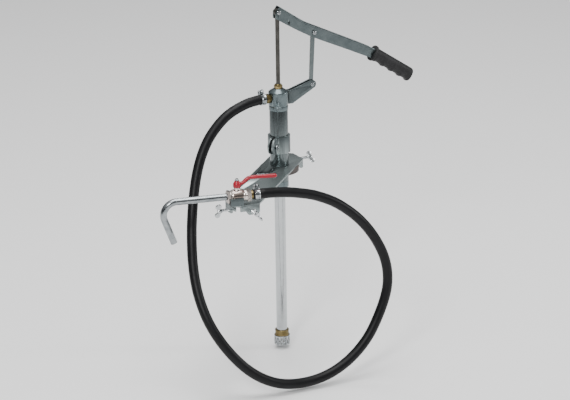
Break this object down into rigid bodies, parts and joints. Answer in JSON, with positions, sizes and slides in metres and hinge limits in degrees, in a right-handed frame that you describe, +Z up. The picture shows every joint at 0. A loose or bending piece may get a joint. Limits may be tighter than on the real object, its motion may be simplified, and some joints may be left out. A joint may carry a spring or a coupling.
{
  "type": "fluid transfer pump",
  "caption": "Hand-lever transfer pump on a diagonal drum clamp plate, with a suction tube, a rubber delivery hose, a ball valve with a red handle and a bent spout.",
  "frame": {"origin": "centre of the clamp plate's underside, where it rests on the drum's rim", "axes": "+Z up along the pump barrel; +X the way the lever points; the plate runs diagonally from (-X, -Y) to (+X, +Y)"},
  "size_m": [0.6393, 0.3286, 0.7153],
  "materials": {
    "zinc_steel": "zinc-plated steel, satin, faintly blue",
    "grey_steel": "drawn steel, satin",
    "casting": "turned zinc casting, satin",
    "bright_steel": "bright zinc-plated steel",
    "brass": "machined brass",
    "nickel": "nickel-plated brass, semi-bright",
    "hose_rubber": "smooth black rubber hose cover",
    "seal_rubber": "black nitrile",
    "seat_plastic": "white fluoropolymer",
    "grip_plastic": "matt black moulded grip",
    "red_sleeve": "red dipped sleeve, semi-gloss",
    "bung_rubber": "dark brown-grey moulded bung"
  },
  "bodies": {
    "frame": {"clamp_plate": "zinc_steel", "socket_tube": "zinc_steel", "clamp_collar": "zinc_steel", "pump_barrel": "zinc_steel", "fulcrum_arm": "zinc_steel", "nozzle_cradle": "zinc_steel", "pump_head": "casting", "barrel_reducer": "casting", "collar_bolt": "bright_steel", "collar_nut": "bright_steel", "suction_tube": "bright_steel", "foot_strainer": "bright_steel", "spout": "bright_steel", "cradle_rivet_1": "bright_steel", "cradle_rivet_2": "bright_steel", "fulcrum_pin": "bright_steel", "outlet_clamp_band": "bright_steel", "outlet_clamp_screw": "bright_steel", "outlet_clamp_nut": "bright_steel", "valve_clamp_band": "bright_steel", "valve_clamp_screw": "bright_steel", "valve_clamp_nut": "bright_steel", "gland_nut": "brass", "outlet_fitting": "brass", "foot_valve_body": "brass", "valve_hose_tail": "brass", "valve_body": "nickel", "valve_end_cap": "nickel", "stem_gland": "nickel", "hose": "hose_rubber", "gland_seal": "seal_rubber", "valve_seat_inlet": "seat_plastic", "valve_seat_outlet": "seat_plastic", "neck_bung": "bung_rubber"},
    "rod": {"piston_rod": "grey_steel", "piston": "brass", "piston_cup": "seal_rubber", "piston_nut": "bright_steel"},
    "lever": {"lever_channel": "zinc_steel", "lever_grip": "grip_plastic", "rod_pin": "bright_steel", "link_pin": "bright_steel"},
    "link": {"lever_link": "zinc_steel"},
    "tap": {"valve_handle": "red_sleeve", "handle_nut": "bright_steel", "valve_stem": "bright_steel", "valve_ball": "bright_steel"},
    "foot_ball": {"foot_valve_ball": "bright_steel"},
    "disc": {"piston_disc_valve": "bright_steel"},
    "tip_near_left": {"pressure_tip_near_left": "bright_steel"},
    "wing_near_left": {"wing_screw_near_left": "bright_steel"},
    "tip_near_right": {"pressure_tip_near_right": "bright_steel"},
    "wing_near_right": {"wing_screw_near_right": "bright_steel"},
    "tip_far_right": {"pressure_tip_far_right": "bright_steel"},
    "wing_far_right": {"wing_screw_far_right": "bright_steel"},
    "tip_far_left": {"pressure_tip_far_left": "bright_steel"},
    "wing_far_left": {"wing_screw_far_left": "bright_steel"}
  },
  "joints": [
    {"name": "rod_slide", "type": "slide", "parent": "frame", "child": "rod", "axis": [0, 0, 1], "range_m": [-0.0801, 0]},
    {"name": "lever_swing", "type": "hinge", "parent": "rod", "child": "lever", "pos_m": [0.067, 0.067, 0.318], "axis": [0, -1, 0], "range_deg": [0, 50]},
    {"name": "link_swing", "type": "hinge", "parent": "frame", "child": "link", "pos_m": [0.1405, 0.067, 0.1607], "axis": [0, 1, 0], "range_deg": [0, 10]},
    {"name": "valve_turn", "type": "hinge", "parent": "frame", "child": "tap", "pos_m": [-0.1171, -0.111, 0.02], "axis": [0, 0, 1], "range_deg": [0, 90]},
    {"name": "foot_ball_lift", "type": "slide", "parent": "frame", "child": "foot_ball", "axis": [0, 0, 1], "range_m": [0, 0.003]},
    {"name": "disc_lift", "type": "slide", "parent": "rod", "child": "disc", "axis": [0, 0, 1], "range_m": [0, 0.002]},
    {"name": "tip_slide_near_left", "type": "slide", "parent": "frame", "child": "tip_near_left", "axis": [-1, 0, 0], "range_m": [0, 0.004]},
    {"name": "wing_turn_near_left", "type": "hinge", "parent": "tip_near_left", "child": "wing_near_left", "pos_m": [-0.1252, -0.0925, -0.0115], "axis": [-1, 0, 0], "range_deg": [0, 1441]},
    {"name": "tip_slide_near_right", "type": "slide", "parent": "frame", "child": "tip_near_right", "axis": [0, -1, 0], "range_m": [0, 0.004]},
    {"name": "wing_turn_near_right", "type": "hinge", "parent": "tip_near_right", "child": "wing_near_right", "pos_m": [-0.0925, -0.1252, -0.0115], "axis": [0, -1, 0], "range_deg": [0, 1441]},
    {"name": "tip_slide_far_right", "type": "slide", "parent": "frame", "child": "tip_far_right", "axis": [1, 0, 0], "range_m": [0, 0.004]},
    {"name": "wing_turn_far_right", "type": "hinge", "parent": "tip_far_right", "child": "wing_far_right", "pos_m": [0.1252, 0.104, -0.006], "axis": [1, 0, 0], "range_deg": [0, 1441]},
    {"name": "tip_slide_far_left", "type": "slide", "parent": "frame", "child": "tip_far_left", "axis": [0, 1, 0], "range_m": [0, 0.004]},
    {"name": "wing_turn_far_left", "type": "hinge", "parent": "tip_far_left", "child": "wing_far_left", "pos_m": [0.104, 0.1252, -0.006], "axis": [0, 1, 0], "range_deg": [0, 1441]}
  ],
  "couplings": [
    {"joint": "rod_slide", "follows": "lever_swing", "m_per_rad": -0.0913},
    {"joint": "link_swing", "follows": "lever_swing", "ratio": 0.185},
    {"joint": "wing_turn_near_left", "follows": "tip_slide_near_left", "rad_per_m": 6283.2},
    {"joint": "wing_turn_near_right", "follows": "tip_slide_near_right", "rad_per_m": 6283.2},
    {"joint": "wing_turn_far_right", "follows": "tip_slide_far_right", "rad_per_m": 6283.2},
    {"joint": "wing_turn_far_left", "follows": "tip_slide_far_left", "rad_per_m": 6283.2}
  ]
}
